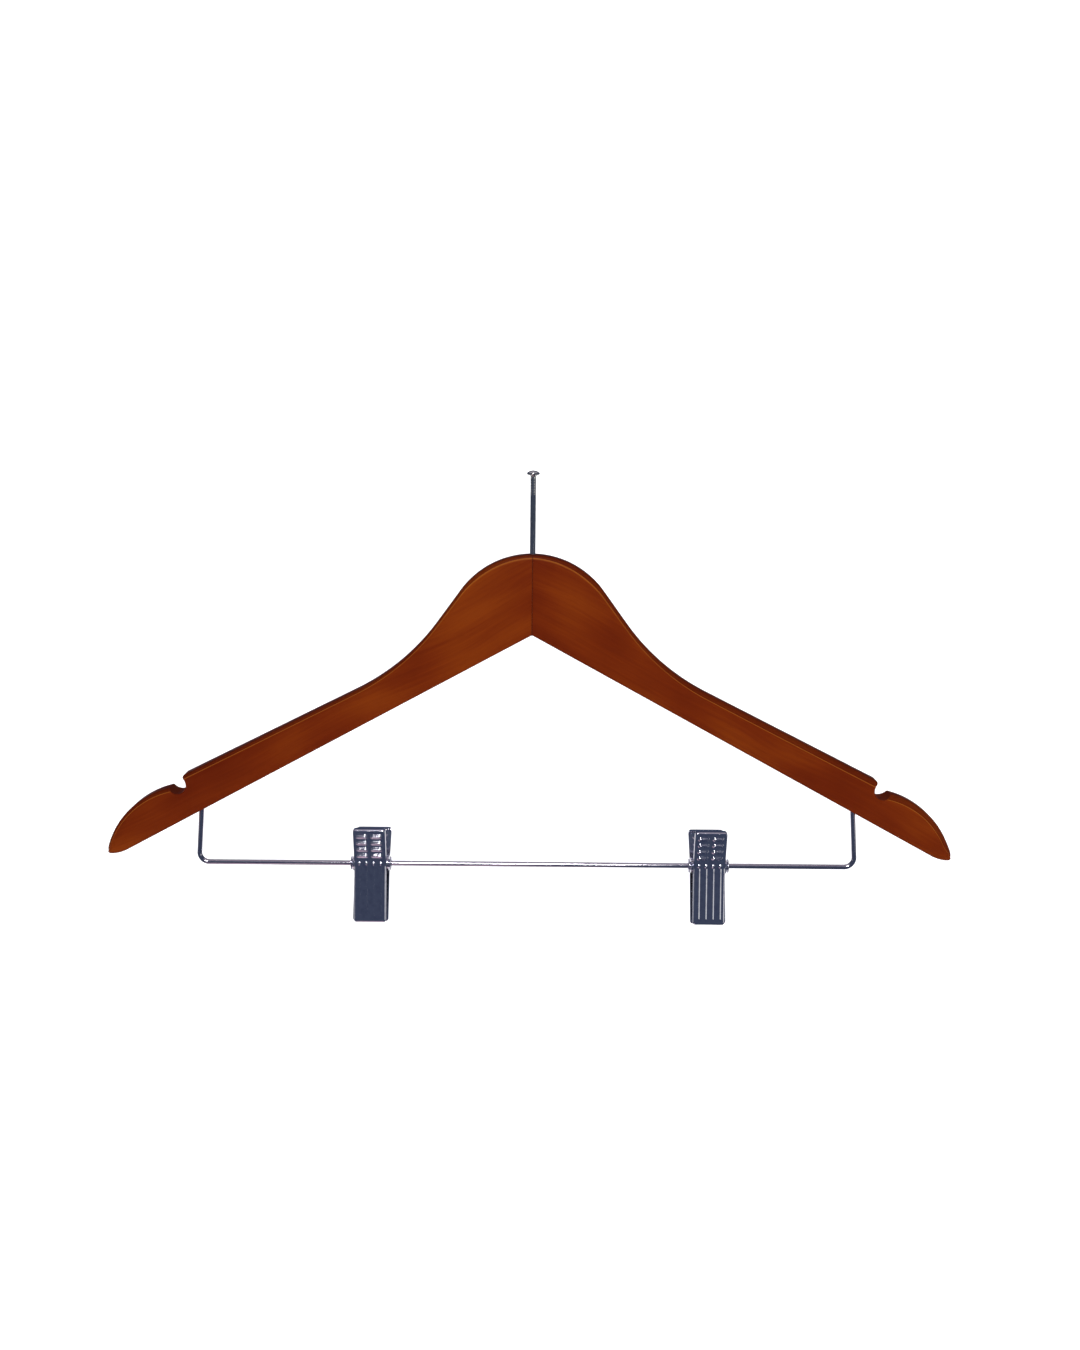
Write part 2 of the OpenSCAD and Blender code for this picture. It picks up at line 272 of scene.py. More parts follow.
@dataclass(frozen=True)
class StainedWood:
    """Close-grained wood with a red-brown stain under satin lacquer.

    The grain runs along the arm: noise is read in coordinates that are turned to
    the arm's slope and stretched along it, in broad bands, streaks and fibres.
    On top of the grain a highlight is painted along the ridge above the face,
    the top edge is stained darker and shade is painted on the underside.
    """

    name: str
    slope: float
    shift: Color
    dark: Color = (0.064, 0.0062, 0.0009)
    middle: Color = (0.087, 0.0108, 0.0011)
    light: Color = (0.118, 0.0195, 0.0015)
    # A painted highlight along the ridge above the face.
    ridge_highlight: Color = (0.190, 0.052, 0.006)
    # Darker stain on the top edge, and painted shade on the lower round-over and underside.
    band: Color = (0.050, 0.0056, 0.0009)
    glue: Color = (0.030, 0.005, 0.002)
    finger: float = 9.0
    layer: float = 2.4

    def glue_lines(self, shader: Shader) -> Signal:
        """One along the glued edges of the comb joint, nought elsewhere.

        The seam lies at x = 0 in the outer layers, at +finger in the next pair
        and at -finger in the middle one; layers meet at 0.5 and 1.5 layers deep.
        """
        x, y, _ = shader.axes(shader.object_mm())
        deep = abs(y)
        core = deep < 0.5 * self.layer
        inner = (deep < 1.5 * self.layer) - core
        seam = abs(x - (inner - core) * self.finger)
        beds = abs(deep - 0.5 * self.layer).least(abs(deep - 1.5 * self.layer))
        outside = 1.0 - (abs(x) < self.finger)
        return 1.0 - seam.least(beds + outside * 10.0).ramp(0.10, 0.42)

    def material(self) -> bpy.types.Material:
        """Builds the wood."""
        s = Shader(self.name)
        along = s.object_mm((0.0, math.radians(self.slope), 0.0), self.shift)
        sway = s.noise(s.scaled(along, (0.012, 0.02, 0.02)), 1.0) - 0.5
        lift = Signal(s, s.node("ShaderNodeCombineXYZ", None, {2: sway * 14.0}).outputs[0])
        bent = Signal(s, s.node("ShaderNodeVectorMath", {"operation": "ADD"}, {0: along, 1: lift}).outputs[0])
        broad = s.noise(s.scaled(bent, (0.011, 0.11, 0.11)), 2.0, 0.5)
        streak = s.noise(s.scaled(bent, (0.030, 0.80, 0.80)), 3.0, 0.6)
        fibre = s.noise(s.scaled(bent, (0.16, 4.2, 4.2)), 2.0, 0.6)
        cloud = s.noise(s.scaled(along, (0.022, 0.028, 0.028)), 1.0)
        tone = (broad * 0.30 + streak * 0.22 + cloud * 0.48).ramp(0.30, 0.70)
        stops = ((0.0, self.dark), (0.5, self.middle), (1.0, self.light))
        wood = s.mix(fibre.ramp(0.54, 0.74, 0.0, 0.30), s.tones(tone, stops), self.dark)
        edge = Signal(s, s.node("ShaderNodeUVMap", {"uv_map": "edge"}).outputs[0])
        # The edge marks: where a highlight is painted along the ridge, and where the top edge is stained
        # darker and shade is painted below.
        ridge_highlight_mark, band, _ = s.axes(edge)
        # Darker stain on the top edge and painted shade on the underside.
        wood = s.mix(band * 0.55, wood, self.band)
        # Painted highlight along the ridge.
        wood = s.mix(ridge_highlight_mark.ramp(0.25, 1.0, 0.0, 0.85), wood, self.ridge_highlight)
        wood = s.mix(self.glue_lines(s) * 0.85, wood, self.glue)
        relief = fibre * 0.6 + streak * 0.4
        return s.finish(
            Base_Color=wood,
            Roughness=fibre.ramp(0.3, 0.7, 0.32, 0.42),
            Specular_IOR_Level=0.02,
            Normal=s.bump(relief, 0.03, 0.5),
        )


@dataclass(frozen=True)
class ChromePlate:
    """Bright chrome over steel, with faint ripples, handling marks and dull spots."""

    name: str
    tint: Color
    shade: Color
    roughness: float
    ripple_mm: float
    ripple_depth: float

    def material(self) -> bpy.types.Material:
        """Builds the plating."""
        s = Shader(self.name)
        where = s.object_mm()
        cloud = s.noise(s.scaled(where, (0.35, 0.35, 0.35)), 3.0, 0.6)
        swell = s.noise(s.scaled(where, (1 / self.ripple_mm,) * 3), 1.0)
        scratch = s.noise(s.scaled(where, (3.0, 3.0, 0.25)), 3.0, 0.7)
        marks = scratch.ramp(0.60, 0.72)
        return s.finish(
            Base_Color=s.mix(cloud.ramp(0.40, 0.75, 0.0, 0.7), self.tint, self.shade),
            Metallic=1.0,
            Roughness=cloud * 0.06 + marks * 0.08 + self.roughness,
            Normal=s.bump(swell + scratch * 0.04, self.ripple_depth, 0.5),
        )


@dataclass(frozen=True)
class DrawnWire:
    """Bright spring wire with fine draw lines and a touch of oil stain."""

    name: str = "spring_wire"
    tint: Color = (0.52, 0.52, 0.54)

    def material(self) -> bpy.types.Material:
        """Builds the wire's finish."""
        s = Shader(self.name)
        where = s.object_mm()
        lines = s.noise(s.scaled(where, (7.0, 1.2, 1.2)), 2.0)
        stain = s.noise(s.scaled(where, (0.5, 0.5, 0.5)), 3.0).ramp(0.45, 0.75, 0.0, 0.6)
        return s.finish(
            Base_Color=s.mix(stain, self.tint, (0.30, 0.27, 0.25)),
            Metallic=1.0,
            Roughness=lines * 0.16 + 0.20,
            Normal=s.bump(lines, 0.02, 0.4),
        )


@dataclass(frozen=True)
class TurnedBrass:
    """Brass with the rings that a lathe tool leaves."""

    name: str = "turned_brass"
    tint: Color = (0.70, 0.46, 0.18)

    def material(self) -> bpy.types.Material:
        """Builds the brass."""
        s = Shader(self.name)
        where = s.object_mm()
        rings = s.noise(s.scaled(where, (0.2, 0.2, 6.0)), 2.0)
        tarnish = s.noise(s.scaled(where, (0.4, 0.4, 0.4)), 3.0).ramp(0.45, 0.8, 0.0, 0.5)
        return s.finish(
            Base_Color=s.mix(tarnish, self.tint, (0.36, 0.22, 0.09)),
            Metallic=1.0,
            Roughness=rings * 0.2 + 0.15,
            Normal=s.bump(rings, 0.03, 0.5),
        )


@dataclass(frozen=True)
class SoftGrip:
    """Soft dark PVC with a fine moulded grain and patches of dust."""

    name: str = "grip_pvc"
    tint: Color = (0.020, 0.020, 0.023)

    def material(self) -> bpy.types.Material:
        """Builds the PVC."""
        s = Shader(self.name)
        where = s.object_mm()
        grain = s.noise(s.scaled(where, (3.5, 3.5, 3.5)), 2.0)
        dust = s.noise(s.scaled(where, (0.5, 0.5, 0.5)), 3.0).ramp(0.45, 0.8, 0.0, 0.5)
        return s.finish(
            Base_Color=s.mix(dust, self.tint, (0.055, 0.053, 0.052)),
            Roughness=grain * 0.25 + 0.40,
            Normal=s.bump(grain, 0.05, 0.6),
        )


# -------------------------------------------------------------------- surfaces


def arc(centre: Sequence[float], radius: float, start: float, stop: float, count: int) -> Array:
    """Points on a circle: centre plus radius times (cos, sin) of evenly spaced angles.

    Args:
        centre: middle of the circle.
        radius: its radius.
        start: first angle in degrees.
        stop: last angle in degrees.
        count: number of steps.

    Returns:
        An array of count + 1 points.
    """
    angle = np.radians(np.linspace(start, stop, count + 1))
    return np.asarray(centre) + radius * np.stack([np.cos(angle), np.sin(angle)], -1)


@dataclass
class Curve:
    """A plane curve that is read by the distance along it."""

    points: Array

    def __post_init__(self) -> None:
        """Works out how far along the curve each point lies."""
        steps = np.linalg.norm(np.diff(self.points, axis=0), axis=1)
        self.reach = np.concatenate([[0.0], np.cumsum(steps)])

    @property
    def length(self) -> float:
        """The curve's whole length."""
        return float(self.reach[-1])

    def at(self, distance: Array) -> Array:
        """Points at distances along the curve; a negative distance mirrors x."""
        far = np.abs(distance)
        x = np.interp(far, self.reach, self.points[:, 0]) * np.where(distance < 0, -1.0, 1.0)
        return np.stack([x, np.interp(far, self.reach, self.points[:, 1])], -1)


def quads(rows: int, cols: int, wrap_rows: bool, wrap_cols: bool) -> Array:
    """Corner numbers of the quads on a grid whose points are stored row by row."""
    i, j = np.meshgrid(
        np.arange(rows if wrap_rows else rows - 1),
        np.arange(cols if wrap_cols else cols - 1),
        indexing="ij",
    )
    down, right = (i + 1) % rows, (j + 1) % cols
    corners = [i * cols + j, i * cols + right, down * cols + right, down * cols + j]
    return np.stack(corners, -1).reshape(-1, 4)


class Solid:
    """Gathers closed surfaces in millimetres and makes one mesh object of them."""

    def __init__(self, name: str) -> None:
        """Starts an empty solid."""
        self.name = name
        self.points: list[Array] = []
        self.faces: list[list[int]] = []
        self.count = 0
        self.edge_uv: Array | None = None

    def grid(self, points: Array, wrap_rows: bool = False, wrap_cols: bool = False) -> int:
        """Adds a grid of points as quads.

        Args:
            points: rows by columns by 3.
            wrap_rows: join the last row to the first.
            wrap_cols: join the last column to the first.

        Returns:
            The number of the grid's first point.
        """
        rows, cols = points.shape[:2]
        start = self.count
        self.faces += (quads(rows, cols, wrap_rows, wrap_cols) + start).tolist()
        self.points.append(points.reshape(-1, 3))
        self.count += rows * cols
        return start

    def tube(self, rings: Array) -> None:
        """Adds rings of points joined into a tube with a flat face at each end."""
        rows, cols = rings.shape[:2]
        start = self.grid(rings, wrap_cols=True)
        last = start + (rows - 1) * cols
        self.faces += [list(range(start, start + cols)), list(range(last, last + cols))]

    def slab(self, front: Array, back: Array) -> None:
        """Adds two grids of the same shape, one behind the other, and the wall about their rims."""
        rows, cols = front.shape[:2]
        a, b = self.grid(front), self.grid(back)
        i, j = np.arange(rows), np.arange(cols)
        rim = np.concatenate([j, i[1:] * cols + cols - 1, (rows - 1) * cols + j[-2::-1], i[-2:0:-1] * cols])
        turn = np.roll(rim, -1)
        self.faces += np.stack([rim + a, rim + b, turn + b, turn + a], -1).tolist()

    def sheet(self, outer: Array, thickness: float) -> None:
        """Adds a sheet: the outer grid and the same grid moved along columns cross rows.

        Args:
            outer: rows by columns by 3, the outer face.
            thickness: how far the inner face lies behind it; less than nought for the other side.
        """
        normal = np.cross(np.gradient(outer, axis=1), np.gradient(outer, axis=0))
        normal /= np.linalg.norm(normal, axis=2, keepdims=True) + 1e-12
        self.slab(outer, outer + normal * thickness)

    def revolve(self, profile: Array, axis: int, sides: int = 48, closed: bool = False) -> None:
        """Turns a profile round an axis: radius times (cos, sin) across it, height along it.

        Args:
            profile: radius and height of each point, upwards.
            axis: 0 for X or 2 for Z.
            sides: steps round the axis.
            closed: true where the profile is a loop.
        """
        turn = np.linspace(0.0, 2 * np.pi, sides, endpoint=False)
        radius, height = profile[:, :1], profile[:, 1:] + 0.0 * turn
        first, second = radius * np.cos(turn), radius * np.sin(turn)
        order = [height, first, second] if axis == 0 else [first, second, height]
        self.grid(np.stack(order, -1), wrap_rows=closed, wrap_cols=True)

    def build(self, place: Callable[[Array], Array] | None = None, crease: float = 35.0) -> bpy.types.Object:
        """Makes the mesh object: welded, faces outwards, smooth but for edges over the crease angle.

        Args:
            place: carries the points to their place in the frame, still in millimetres.
            crease: angle in degrees past which an edge is sharp.

        Returns:
            The object.
        """
        points = np.concatenate(self.points)
        points = (place(points) if place else points) * MM
        mesh = bpy.data.meshes.new(self.name)
        mesh.from_pydata(points, [], self.faces)
        if self.edge_uv is not None:
            corner = np.empty(len(mesh.loops), np.int32)
            mesh.loops.foreach_get("vertex_index", corner)
            layer = mesh.uv_layers.new(name="edge")
            layer.uv.foreach_set("vector", self.edge_uv[corner].ravel().astype(np.float32))
        welded = bmesh.new()
        welded.from_mesh(mesh)
        bmesh.ops.remove_doubles(welded, verts=welded.verts, dist=1e-7)
        bmesh.ops.recalc_face_normals(welded, faces=welded.faces)
        welded.to_mesh(mesh)
        welded.free()
        soften(mesh, crease)
        piece = bpy.data.objects.new(self.name, mesh)
        bpy.context.scene.collection.objects.link(piece)
        return piece


def soften(mesh: bpy.types.Mesh, crease: float) -> None:
    """Shades a mesh smooth and keeps edges over the crease angle, in degrees, sharp."""
    mesh.polygons.foreach_set("use_smooth", np.ones(len(mesh.polygons), bool))
    mesh.set_sharp_from_angle(angle=math.radians(crease))
    mesh.update()


def sweep(path: Array, radius: Array, reference: Sequence[float], sides: int) -> Array:
    """Rings round a path: each point plus radius times cos and sin of two normals.

    Args:
        path: points by 3.
        radius: the radius at each point.
        reference: a direction that the path never follows.
        sides: points on each ring.

    Returns:
        Rings by sides by 3.
    """
    tangent = np.gradient(path, axis=0)
    tangent /= np.linalg.norm(tangent, axis=1, keepdims=True)
    first = np.cross(np.asarray(reference, float), tangent)
    first /= np.linalg.norm(first, axis=1, keepdims=True)
    second = np.cross(tangent, first)
    turn = np.linspace(0.0, 2 * np.pi, sides, endpoint=False)[None, :, None]
    spoke = first[:, None] * np.cos(turn) + second[:, None] * np.sin(turn)
    return path[:, None] + np.reshape(radius, (-1, 1, 1)) * spoke


def rounded_ends(path: Array, radius: float, steps: int = 5) -> tuple[Array, Array]:
    """Adds a half ball to both ends of a path: the radius falls as a quarter circle.

    Args:
        path: points by 3.
        radius: radius of the wire.
        steps: rings on each half ball.

    Returns:
        The longer path and the radius at each of its points.
    """
    angle = np.radians(np.linspace(4.0, 90.0, steps))
    head = (path[0] - path[1]) / np.linalg.norm(path[0] - path[1])
    tail = (path[-1] - path[-2]) / np.linalg.norm(path[-1] - path[-2])
    before = path[0] + head * radius * (np.cos(angle)[:-1, None] - 1.0)
    after = path[-1] + tail * radius * (np.cos(angle)[-2::-1, None] - 1.0)
    keep = slice(1, -1)
    full = np.concatenate([before, path[keep], after])
    small = radius * np.sin(angle)[:-1]
    return full, np.concatenate([small, np.full(len(path) - 2, radius), small[::-1]])


def prism(name: str, outline: Array, axis: int, low: float, high: float) -> bpy.types.Object:
    """A cutter: an outline carried straight along an axis.

    Args:
        name: the object's name.
        outline: points in the two other axes, in their order.
        axis: 1 to run along Y, 2 along Z.
        low: where it starts.
        high: where it stops.

    Returns:
        The object.
    """
    ends = np.array([low, high])[:, None] + 0.0 * outline[:, 0]
    a, b = (outline[:, k] + 0.0 * ends for k in (0, 1))
    rings = np.stack([a, ends, b] if axis == 1 else [a, b, ends], -1)
    cutter = Solid(name)
    cutter.tube(rings)
    return cutter.build()


def carve(piece: bpy.types.Object, cutters: Sequence[bpy.types.Object], crease: float) -> None:
    """Cuts the cutters out of a piece one after another and removes them.

    Args:
        piece: what is cut.
        cutters: closed meshes.
        crease: angle in degrees past which an edge stays sharp.
    """
    for cutter in cutters:
        cut = piece.modifiers.new(cutter.name, "BOOLEAN")
        cut.operation, cut.solver, cut.object = "DIFFERENCE", "EXACT", cutter
    graph = bpy.context.evaluated_depsgraph_get()
    mesh = bpy.data.meshes.new_from_object(piece.evaluated_get(graph))
    piece.modifiers.clear()
    piece.data = mesh
    for cutter in cutters:
        bpy.data.objects.remove(cutter)
    soften(mesh, crease)


def dress(
    piece: bpy.types.Object, material: bpy.types.Material, body: str, node: str
) -> bpy.types.Object:
    """Gives a piece its finish and its place in the frame.

    Args:
        piece: the new piece.
        material: its finish.
        body: the body that it rides on, or nothing for a piece between two bodies, which then rides on none.
        node: the node that it stands for.

    Returns:
        The piece.
    """
    piece.data.materials.clear()
    piece.data.materials.append(material)
    if body:
        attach(piece, body)
    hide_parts(node)
    log.info("%s: %d faces", piece.name, len(piece.data.polygons))
    return piece


# ------------------------------------------------------------------------ wood


class Hand(Enum):
    """The two sides of the hanger."""

    LEFT = -1
    RIGHT = 1


@dataclass
class WoodenArm:
    """One shaped arm with its half of the comb joint; sizes in millimetres."""

    hand: Hand
    finish: StainedWood
    round_over: Sequence[float]
    bar: "ClipBar"
    dome_r: float = 45.0
    flank_a: float = 53.9
    flank_len: float = 20.5
    flare_r: float = 116.5
    shoulder_a: float = 26.82
    under_a: float = 28.77
    apex_z: float = -79.54
    tip_r: float = 47.3
    tip_in: float = 45.5
    tip_z: float = -208.07
    end_r: float = 14.0
    foot_r: float = 1.0
    foot_z: float = -198.35
    notch_r: float = 4.8
    notch_in: float = 38.35
    notch_z: float = -160.3
    notch_ease: float = 1.4
    notch_mouth: float = 8.0
    finger: float = 9.0
    under_round: float = 0.9
    crown: float = 0.65
    quirk: float = 0.22
    end_round: float = 2.0
    glue_gap: float = 0.015

    def __post_init__(self) -> None:
        """Reads the arm's size from the frame."""
        self.name = f"{self.hand.name.lower()}_arm"
        low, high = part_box(self.name)
        self.end_x = max(-low.x, high.x) / MM
        self.half_t = (high.y - low.y) / MM / 2
        self.top_z = high.z / MM

    def top_curve(self) -> Curve:
        """The upper outline from the middle to the end: dome, flank, flare, shoulder and tip."""
        dome = arc((0.0, self.top_z - self.dome_r), self.dome_r, 90.0, 90.0 - self.flank_a, 60)
        slope = math.radians(self.flank_a)
        flare_top = dome[-1] + self.flank_len * np.array([math.cos(slope), -math.sin(slope)])
        centre = flare_top + self.flare_r * np.array([math.sin(slope), math.cos(slope)])
        flare = arc(centre, self.flare_r, 270.0 - self.flank_a, 270.0 - self.shoulder_a, 60)
        run = self.end_x - self.notch_in - flare[-1, 0]
        shoulder = flare[-1] + run * np.array([1.0, -math.tan(math.radians(self.shoulder_a))])
        tip_c = np.array([self.end_x - self.tip_in, self.tip_z])
        side = self.end_x - self.end_r - tip_c[0]
        end_c = tip_c + np.array([side, math.sqrt((self.tip_r - self.end_r) ** 2 - side**2)])
        end_a = math.degrees(math.atan2(end_c[1] - tip_c[1], side))
        tip = arc(tip_c, self.tip_r, 77.0, end_a, 60)
        end = arc(end_c, self.end_r, end_a - 1.0, 0.0, 24)
        return Curve(np.vstack([dome, flare_top, flare[1:], shoulder, tip, end]))

    def under_curve(self) -> Curve:
        """The lower outline from the middle to the end: straight, heel and foot."""
        slope = math.radians(self.under_a)
        foot_c = np.array([self.end_x - self.foot_r, self.foot_z + self.foot_r])
        rise = self.apex_z - self.foot_z
        heel_r = (math.sin(slope) * foot_c[0] - math.cos(slope) * rise) / (1 - math.cos(slope))
        heel = arc((foot_c[0], self.foot_z + heel_r), heel_r, 270.0 - self.under_a, 270.0, 30)
        foot = arc(foot_c, self.foot_r, 274.0, 360.0, 12)
        return Curve(np.vstack([[0.0, self.apex_z], heel, foot]))

    def section(self, depth: Array, half: Array, top_r: Array, low_r: Array) -> tuple[Array, Array, Array]:
        """Half of the arm's cross-section, from the middle of its top to the middle of its underside.

        A flat, a quarter circle and a small quirk lead to the crowned face, whose
        thickness falls from its middle as a parabola; a small quarter circle ends it.

        Args:
            depth: height of each section, along it.
            half: half of its thickness.
            top_r: radius of the upper round-over.
            low_r: radius of the lower one.

        Returns:
            Distance below the top and thickness from the middle, sections by
            points, and the edge marks of the points: one for the highlight painted
            along the ridge, one for the darker-stained top edge and the painted
            shade below.
        """
        depth, half, top_r, low_r = (v[:, None] for v in (depth, half, top_r, low_r))
        turn = np.radians(np.linspace(0.0, 90.0, 11))[None]
        late = turn[:, 1:]
        face_edge = half - self.crown
        edge = face_edge - self.quirk
        flat = np.linspace(0.0, 1.0, 5)[None, :-1]
        v = np.linspace(0.0, 1.0, 30)[None]
        face_top = top_r + 0.12
        # Each part: depth below the top, thickness, the mark for the painted ridge highlight, and the mark
        # for darker stain on the top edge and painted shade on the underside.
        parts = [
            (0.0 * depth + 0.0 * flat, (edge - top_r) * flat, 0.0, 1.0),
            (top_r * (1.0 - np.cos(turn)), edge - top_r * (1.0 - np.sin(turn)), 0.0, 1.0),
            (top_r + 0.02, face_edge - 0.06, 1.0, 0.6),
            (
                face_top + (depth - low_r - face_top) * v,
                half - self.crown * (2.0 * v - 1.0) ** 2,
                np.where(v == 0.0, 1.0, 0.0),
                0.0,
            ),
            (depth - low_r * (1.0 - np.sin(late)), face_edge - low_r * (1.0 - np.cos(late)), 0.0, 0.4),
            (depth + 0.0 * flat, (face_edge - low_r) * (0.75 - flat), 0.0, 0.4),
        ]
        below = np.concatenate([np.broadcast_to(p[0], (len(depth), p[0].shape[1])) for p in parts], 1)
        thick = np.concatenate([np.broadcast_to(p[1], (len(depth), p[0].shape[1])) for p in parts], 1)
        marks = [np.stack(np.broadcast_arrays(p[2], p[3], np.zeros(p[0].shape[1])), -1) for p in parts]
        return below, thick, np.concatenate([m.reshape(-1, 3)[:, :2] for m in marks])

    def blank(self) -> Solid:
        """The arm before it is cut: sections strung between the two outlines.

        Section f joins the points a share f along the upper and the lower
        outline, and starts a little past the middle so that the fingers can be cut.
        """
        share = np.concatenate([np.linspace(-0.05, 0.965, 236), np.linspace(0.967, 1.0, 26)])
        upper, lower = self.top_curve(), self.under_curve()
        top, low = upper.at(share * upper.length), lower.at(share * lower.length)
        depth = np.linalg.norm(low - top, axis=1)
        left_over = self.end_x - (top[:, 0] + low[:, 0]) / 2
        short = np.clip(self.end_round - left_over, 0.0, self.end_round)
        half = self.half_t - self.end_round + np.sqrt(self.end_round**2 - short**2)
        stops = (0.0, 28.0, 75.0, 205.0, 222.0)
        top_r = np.minimum(np.interp(np.abs(top[:, 0]), stops, self.round_over), 0.3 * depth)
        below, thick, marks = self.section(depth, half, top_r, np.minimum(self.under_round, 0.2 * depth))
        down = ((low - top) / depth[:, None])[:, None]
        plane = top[:, None] + below[..., None] * down
        front = np.stack([plane[..., 0] * self.hand.value, -thick, plane[..., 1]], -1)
        back = front[:, -2:0:-1] * np.array([1.0, -1.0, 1.0])
        rings = np.concatenate([front, back], 1)
        edge = np.concatenate([marks, marks[-2:0:-1]])
        solid = Solid(f"{self.name}_wood")
        solid.tube(rings)
        solid.edge_uv = np.tile(edge, (len(rings), 1))
        return solid

    def comb_cutter(self) -> bpy.types.Object:
        """The other arm's side of the stepped joint, as a prism that runs along Z."""
        side = self.hand.value
        layer = 2 * self.half_t / 5
        gap = side * self.glue_gap
        reach = [0.0, self.finger, -self.finger, self.finger, 0.0]
        steps = [(reach[i] + gap, y) for i in range(5) for y in self.layer_edges(i, layer)]
        outline = np.array([(-25.0 * side, steps[0][1]), *steps, (-25.0 * side, steps[-1][1])])
        return prism("comb_cutter", outline, 2, -120.0, -20.0)

    def layer_edges(self, index: int, layer: float) -> tuple[float, float]:
        """Where one layer of the joint starts and stops, the outer ones with a margin."""
        low = -self.half_t - 2.0 if index == 0 else -self.half_t + index * layer
        high = self.half_t + 2.0 if index == 4 else -self.half_t + (index + 1) * layer
        return low, high

    def notch_cutter(self) -> bpy.types.Object:
        """The strap notch: a round pocket with its inner corner eased on to the shoulder.

        The easing circle rolls into the corner between the pocket's circle and
        the shoulder line, so it touches both.
        """
        pocket = np.array([self.end_x - self.notch_in, self.notch_z])
        slope = math.radians(self.shoulder_a)
        normal = np.array([math.sin(slope), math.cos(slope)])
        corner = next(p for p in self.top_curve().points[::-1] if p[0] < pocket[0] - 1e-6)
        below = float(normal @ (pocket - corner))
        reach = self.notch_r + self.notch_ease
        turn = 90.0 - self.shoulder_a + math.degrees(math.acos((-self.notch_ease - below) / reach))
        ease = pocket + reach * np.array([math.cos(math.radians(turn)), math.sin(math.radians(turn))])
        outline = np.vstack([
            arc(pocket, self.notch_r, turn, 352.0, 48),
            pocket + [self.notch_r + 0.15, 0.3],
            pocket + [self.notch_r + 0.9, 1.6],
            pocket + [self.notch_r + 1.2, self.notch_mouth],
            ease + (self.notch_ease + self.notch_mouth) * normal,
            arc(ease, self.notch_ease, 95.0 - self.shoulder_a, turn - 179.0, 10),
        ])
        outline[:, 0] *= self.hand.value
        return prism("notch_cutter", outline, 1, -self.half_t - 3.0, self.half_t + 3.0)

    def build(self) -> bpy.types.Object:
        """Makes the arm, cuts its joint, notch and bores, and dresses it."""
        piece = self.blank().build()
        bore = arc((0.0, 0.0), 1.62, 0.0, 360.0, 40)[:-1]
        cutters = [
            self.comb_cutter(),
            self.notch_cutter(),
            prism("pin_bore", bore, 2, -69.0, -30.0),
            self.bar.bore(self.hand.value),
        ]
        carve(piece, cutters, 32.0)
        return dress(piece, self.finish.material(), "frame", self.name)


# ----------------------------------------------------------------- pin and bar


@dataclass
class SwivelPin:
    """The nail-head pin and its sleeve."""

    finish: ChromePlate
    grip_pitch: float = 0.8
    grip_depth: float = 0.04
    grip_len: float = 9.0

    def profile(self) -> Array:
        """Radius over height: upset foot, shank with grip rings, coned and domed head."""
        low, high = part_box("security_pin")
        foot_z, head_z, head_r = low.z / MM, high.z / MM, high.x / MM
        shank_r = 1.4
        foot = [(0.0, foot_z), (1.9, foot_z), (2.3, foot_z + 0.3), (2.3, foot_z + 2.2), (2.1, foot_z + 2.5)]
        plain_z = np.linspace(foot_z + 2.5, -self.grip_len - 1.0, 40)
        plain = np.stack([np.full(40, shank_r), plain_z], -1)
        grip_z = np.linspace(-self.grip_len - 0.9, -1.2, 130)
        fade = np.sin(np.pi * (grip_z - grip_z[0]) / (grip_z[-1] - grip_z[0])) ** 0.3
        wave = 0.5 - 0.5 * np.cos(2 * np.pi * grip_z / self.grip_pitch)
        grip = np.stack([shank_r - self.grip_depth * fade * wave, grip_z], -1)
        neck = [(shank_r, -0.4), (shank_r + 0.08, -0.1), (shank_r + 0.35, 0.12), (head_r - 0.35, 0.55)]
        rim = [(head_r - 0.08, 0.75), (head_r, 0.95), (head_r, 1.35), (head_r - 0.12, 1.62)]
        turn = np.linspace(0.0, 1.0, 14)[1:]
        dome = np.stack([(head_r - 0.12) * (1 - turn), head_z - (head_z - 1.62) * (1 - turn) ** 2.2], -1)
        return np.vstack([foot, plain, grip, neck, rim, dome])

    def build(self) -> None:
        """Makes the pin and gives the hidden sleeve its finish."""
        solid = Solid("security_pin_chrome")
        solid.revolve(self.profile(), 2, 64)
        piece = solid.build(crease=40.0)
        dress(piece, self.finish.material(), "pin", "security_pin")
        sleeve = frame["nodes"]["swivel_sleeve"]
        sleeve.data.materials.clear()
        sleeve.data.materials.append(TurnedBrass().material())


